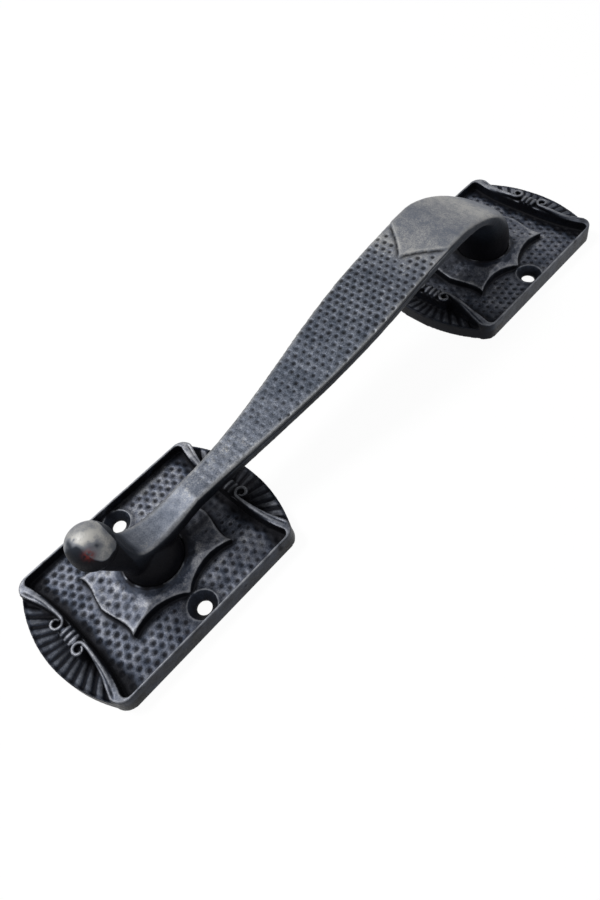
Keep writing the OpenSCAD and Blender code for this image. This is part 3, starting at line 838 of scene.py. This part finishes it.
class Sheet:
    """Short words for building one material's nodes."""

    def __init__(self, name):
        self.material = bpy.data.materials.new(name)
        self.material.use_nodes = True
        self.nodes = self.material.node_tree.nodes
        self.links = self.material.node_tree.links
        self.shader = self.nodes["Principled BSDF"]

    def link(self, source, target):
        self.links.new(source, target)

    def put(self, target, value):
        """Sets an input to a number or a colour, or links it to another node's output."""
        if isinstance(value, (int, float)):
            target.default_value = value
        elif isinstance(value, tuple):
            target.default_value = (*value, 1.0)
        else:
            self.link(value, target)

    def attribute(self, name):
        node = self.nodes.new("ShaderNodeAttribute")
        node.attribute_name = name
        return node.outputs["Fac"]

    def noise(self, scale, detail=4.0, roughness=0.55, stretch=(1, 1, 1)):
        where = self.nodes.new("ShaderNodeTexCoord")
        mapping = self.nodes.new("ShaderNodeMapping")
        mapping.inputs["Scale"].default_value = stretch
        self.link(where.outputs["Object"], mapping.inputs["Vector"])
        node = self.nodes.new("ShaderNodeTexNoise")
        node.inputs["Scale"].default_value = scale
        node.inputs["Detail"].default_value = detail
        node.inputs["Roughness"].default_value = roughness
        self.link(mapping.outputs["Vector"], node.inputs["Vector"])
        return node.outputs["Fac"]

    def ramp(self, value, low, high, out_low=0.0, out_high=1.0):
        """out_low below low, out_high above high and smooth between them."""
        node = self.nodes.new("ShaderNodeMapRange")
        node.interpolation_type = "SMOOTHSTEP"
        self.put(node.inputs["Value"], value)
        words = ("From Min", "From Max", "To Min", "To Max")
        for word, number in zip(words, (low, high, out_low, out_high)):
            node.inputs[word].default_value = number
        return node.outputs["Result"]

    def maths(self, operation, a, b):
        """What an operation on two values gives, kept between 0 and 1."""
        node = self.nodes.new("ShaderNodeMath")
        node.operation = operation
        node.use_clamp = True
        self.put(node.inputs[0], a)
        self.put(node.inputs[1], b)
        return node.outputs[0]

    def product(self, value, *factors):
        """The value times each of the factors, kept between 0 and 1 at each step."""
        for factor in factors:
            value = self.maths("MULTIPLY", value, factor)
        return value

    def between(self, share, a, b):
        """The number that lies between a and b by the share."""
        node = self.nodes.new("ShaderNodeMix")
        for socket, value in zip(("Factor", "A", "B"), (share, a, b)):
            self.put(node.inputs[socket], value)
        return node.outputs["Result"]

    def mix(self, share, a, b):
        """The colour that lies between a and b by the share."""
        node = self.nodes.new("ShaderNodeMix")
        node.data_type = "RGBA"
        self.put(node.inputs["Factor"], share)
        for end, value in (("A_Color", a), ("B_Color", b)):
            self.put(next(s for s in node.inputs if s.identifier == end), value)
        return next(s for s in node.outputs if s.identifier == "Result_Color")

    def bump(self, height, strength, distance):
        node = self.nodes.new("ShaderNodeBump")
        node.inputs["Strength"].default_value = strength
        node.inputs["Distance"].default_value = distance
        self.link(height, node.inputs["Height"])
        self.link(node.outputs["Normal"], self.shader.inputs["Normal"])


def cast_metal(name, soot_and_shade, patina, rubbed, bare, edge_share, patchy):
    """Blackened cast metal: black in its hollows and, as painted shade, where the pull hides its sky,
    rubbed grey on its faces and pale on its edges.
    """
    sheet = Sheet(name)
    cloud = sheet.noise(60, detail=4)
    mottle = sheet.noise(300, detail=6, roughness=0.7)
    grain = sheet.noise(2200, detail=3, roughness=0.6)
    # This attribute holds the wear together with painted shade and painted highlights
    rub_and_light, uneven = sheet.attribute("wear_and_light"), sheet.attribute("uneven")
    patches = sheet.ramp(mottle, 0.3, 0.7, 1 - patchy, 1 + patchy)
    clouds = sheet.ramp(cloud, 0.3, 0.7, 0.85, 1.15)
    grains = sheet.ramp(grain, 0.3, 0.7, 0.7, 1.3)
    wear_and_light = sheet.between(uneven, rub_and_light, sheet.product(rub_and_light, patches, clouds, grains))
    colour = sheet.mix(sheet.ramp(wear_and_light, 0, 0.3), soot_and_shade, patina)
    colour = sheet.mix(sheet.ramp(wear_and_light, 0.2, 0.65), colour, rubbed)
    colour = sheet.mix(sheet.ramp(wear_and_light, 0.55, 1.1), colour, bare)
    flecks = sheet.ramp(sheet.noise(900, detail=4, roughness=0.75), 0.6, 0.7)
    flecks = sheet.product(flecks, sheet.attribute("flecks"), sheet.ramp(wear_and_light, 0.3, 0.7, 0, 0.6))
    colour = sheet.mix(flecks, colour, bare)
    edges = sheet.product(sheet.attribute("edge"), sheet.ramp(mottle, 0.35, 0.6, 0.35, 1))
    edges = sheet.maths("ADD", edges, sheet.product(sheet.attribute("ridge"), 0.4))
    edges = sheet.product(edges, sheet.ramp(rub_and_light, 0.1, 0.45), edge_share)
    colour = sheet.mix(edges, colour, bare)
    # Painted shade: black where the pull's own parts hide the sky, over the black patina of hollows and
    # dimples
    hidden = sheet.ramp(sheet.attribute("open"), 0.35, 0.84, 0.98, 0)
    hollow = sheet.product(sheet.attribute("hollow"), 0.9)
    pits = sheet.ramp(sheet.attribute("pit"), 0.1, 0.85, 0, 0.84)
    dark = sheet.maths("MAXIMUM", sheet.maths("MAXIMUM", hidden, hollow), pits)
    dark = sheet.maths("SUBTRACT", dark, edges)
    colour = sheet.mix(dark, colour, soot_and_shade)
    colour = sheet.mix(sheet.attribute("red"), colour, RED)
    sheet.link(colour, sheet.shader.inputs["Base Color"])
    rough = sheet.ramp(grain, 0.3, 0.7, 0.38, 0.55)
    rough = sheet.maths("ADD", rough, sheet.product(dark, 0.25))
    rough = sheet.maths("ADD", rough, sheet.ramp(uneven, 0.3, 0.8, 0.12, 0))
    sheet.link(rough, sheet.shader.inputs["Roughness"])
    sheet.shader.inputs["Metallic"].default_value = CAST_METALLIC
    sheet.shader.inputs["Specular IOR Level"].default_value = CAST_SPECULAR
    height = sheet.maths("ADD", sheet.product(grain, 0.6), sheet.product(mottle, 0.4))
    sheet.bump(height, CAST_BUMP, CAST_BUMP_T)
    return sheet.material


def turned_steel(name):
    sheet = Sheet(name)
    rings = sheet.noise(900, detail=2, stretch=(1, 1, 6))
    colour = sheet.mix(sheet.ramp(rings, 0.35, 0.7), STEEL_DARK, STEEL_PALE)
    stains = sheet.ramp(sheet.noise(160, detail=3), 0.55, 0.75, 0, 0.7)
    sheet.link(sheet.mix(stains, colour, STEEL_STAIN), sheet.shader.inputs["Base Color"])
    sheet.link(sheet.ramp(rings, 0.3, 0.7, 0.28, 0.42), sheet.shader.inputs["Roughness"])
    sheet.shader.inputs["Metallic"].default_value = 1.0
    sheet.bump(rings, STEEL_BUMP, STEEL_BUMP_T)
    return sheet.material


def seen_straight(tree):
    """1 where the camera sees a surface itself, mirrored or through something clear."""
    path = tree.nodes.new("ShaderNodeLightPath")
    seen = path.outputs["Is Camera Ray"]
    for kind in ("Is Glossy Ray", "Is Transmission Ray"):
        either = tree.nodes.new("ShaderNodeMath")
        either.operation = "MAXIMUM"
        tree.links.new(seen, either.inputs[0])
        tree.links.new(path.outputs[kind], either.inputs[1])
        seen = either.outputs[0]
    return seen


def show_blend(tree, output, share, first, second):
    """Shows the first shader in an output node, and the second one by the share."""
    blend = tree.nodes.new("ShaderNodeMixShader")
    for source, target in zip((share, first, second), blend.inputs):
        tree.links.new(source, target)
    tree.links.new(blend.outputs[0], tree.nodes[output].inputs["Surface"])


def plain_floor():
    """A pale floor, white to the camera and in reflections, which keeps the shadow."""
    sheet = Sheet("floor_paper")
    tree = sheet.material.node_tree
    sheet.shader.inputs["Base Color"].default_value = (*FLOOR_GREY, 1)
    sheet.shader.inputs["Roughness"].default_value = FLOOR_ROUGHNESS
    glow = tree.nodes.new("ShaderNodeEmission")
    glow.inputs["Color"].default_value = (*WHITE, 1)
    glow.inputs["Strength"].default_value = FLOOR_GLOW
    share = sheet.product(seen_straight(tree), FLOOR_GLOW_SHARE)
    show_blend(tree, "Material Output", share, sheet.shader.outputs[0], glow.outputs[0])
    return sheet.material


# Stage

def make_floor():
    mesh = bpy.data.meshes.new("floor")
    corners = [(x * FLOOR_HALF, y * FLOOR_HALF, 0) for x, y in ((-1, -1), (1, -1), (1, 1), (-1, 1))]
    mesh.from_pydata(corners, [], [(0, 1, 2, 3)])
    floor = bpy.data.objects.new("floor", mesh)
    floor.location.z = -FLOOR_DOWN
    mesh.materials.append(plain_floor())
    bpy.context.scene.collection.objects.link(floor)


def make_world():
    world = bpy.data.worlds.new("studio")
    bpy.context.scene.world = world
    world.use_nodes = True
    tree = world.node_tree
    soft, white = tree.nodes["Background"], tree.nodes.new("ShaderNodeBackground")
    for background, strength in ((soft, SOFT_LIGHT), (white, 1.0)):
        background.inputs["Color"].default_value = (*WHITE, 1)
        background.inputs["Strength"].default_value = strength
    show_blend(tree, "World Output", seen_straight(tree), soft.outputs[0], white.outputs[0])


def make_lamp(name, way, distance, size, power):
    """A round soft lamp that shines on the pull from the direction way."""
    lamp = bpy.data.lights.new(name, "AREA")
    lamp.shape = "DISK"
    lamp.size = size
    lamp.energy = power
    lit = bpy.data.objects.new(name, lamp)
    way = Vector(way).normalized()
    lit.location = way * distance
    lit.rotation_euler = way.to_track_quat("Z", "Y").to_euler()
    bpy.context.scene.collection.objects.link(lit)


def make_camera():
    data = bpy.data.cameras.new("camera")
    data.sensor_fit = "AUTO"
    data.sensor_width = SENSOR_MM
    data.lens = LENS_MM
    data.clip_start = 10 * MM
    camera = bpy.data.objects.new("camera", data)
    look = Vector((math.cos(LOOK_TURN) * math.cos(LOOK_DOWN), math.sin(LOOK_TURN) * math.cos(LOOK_DOWN),
                   -math.sin(LOOK_DOWN)))
    level = look.to_track_quat("-Z", "Y").to_matrix()
    turned = level @ Euler((0, 0, LOOK_ROLL)).to_matrix()
    camera.matrix_world = Matrix.Translation(CAMERA_AT) @ turned.to_4x4()
    bpy.context.scene.collection.objects.link(camera)
    bpy.context.scene.camera = camera


make_camera()
make_world()
make_floor()
make_lamp("key", way=(-0.32, 0.46, 0.83), distance=1.0, size=0.28, power=7)

plate_metal = cast_metal("plate_metal", soot_and_shade=SOOT_AND_SHADE, patina=(0.021, 0.028, 0.045),
                         rubbed=(0.11, 0.119, 0.148), bare=(0.29, 0.295, 0.31),
                         edge_share=0.4, patchy=0.45)
handle_metal = cast_metal("handle_metal", soot_and_shade=SOOT_AND_SHADE, patina=(0.021, 0.028, 0.042),
                          rubbed=(0.118, 0.13, 0.158), bare=(0.42, 0.412, 0.39),
                          edge_share=0.3, patchy=0.25)
make_plate("lower_plate", "plate_lower", LOWER_X, LOWER_SEED).data.materials.append(plate_metal)
make_plate("upper_plate", "plate_upper", UPPER_X, UPPER_SEED).data.materials.append(plate_metal)
make_handle().data.materials.append(handle_metal)
screw_steel = turned_steel("screw_steel")
for screw in ("lower_screw", "upper_screw"):
    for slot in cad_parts[screw].material_slots:
        slot.material = screw_steel

bpy.context.scene.view_settings.view_transform = "Standard"
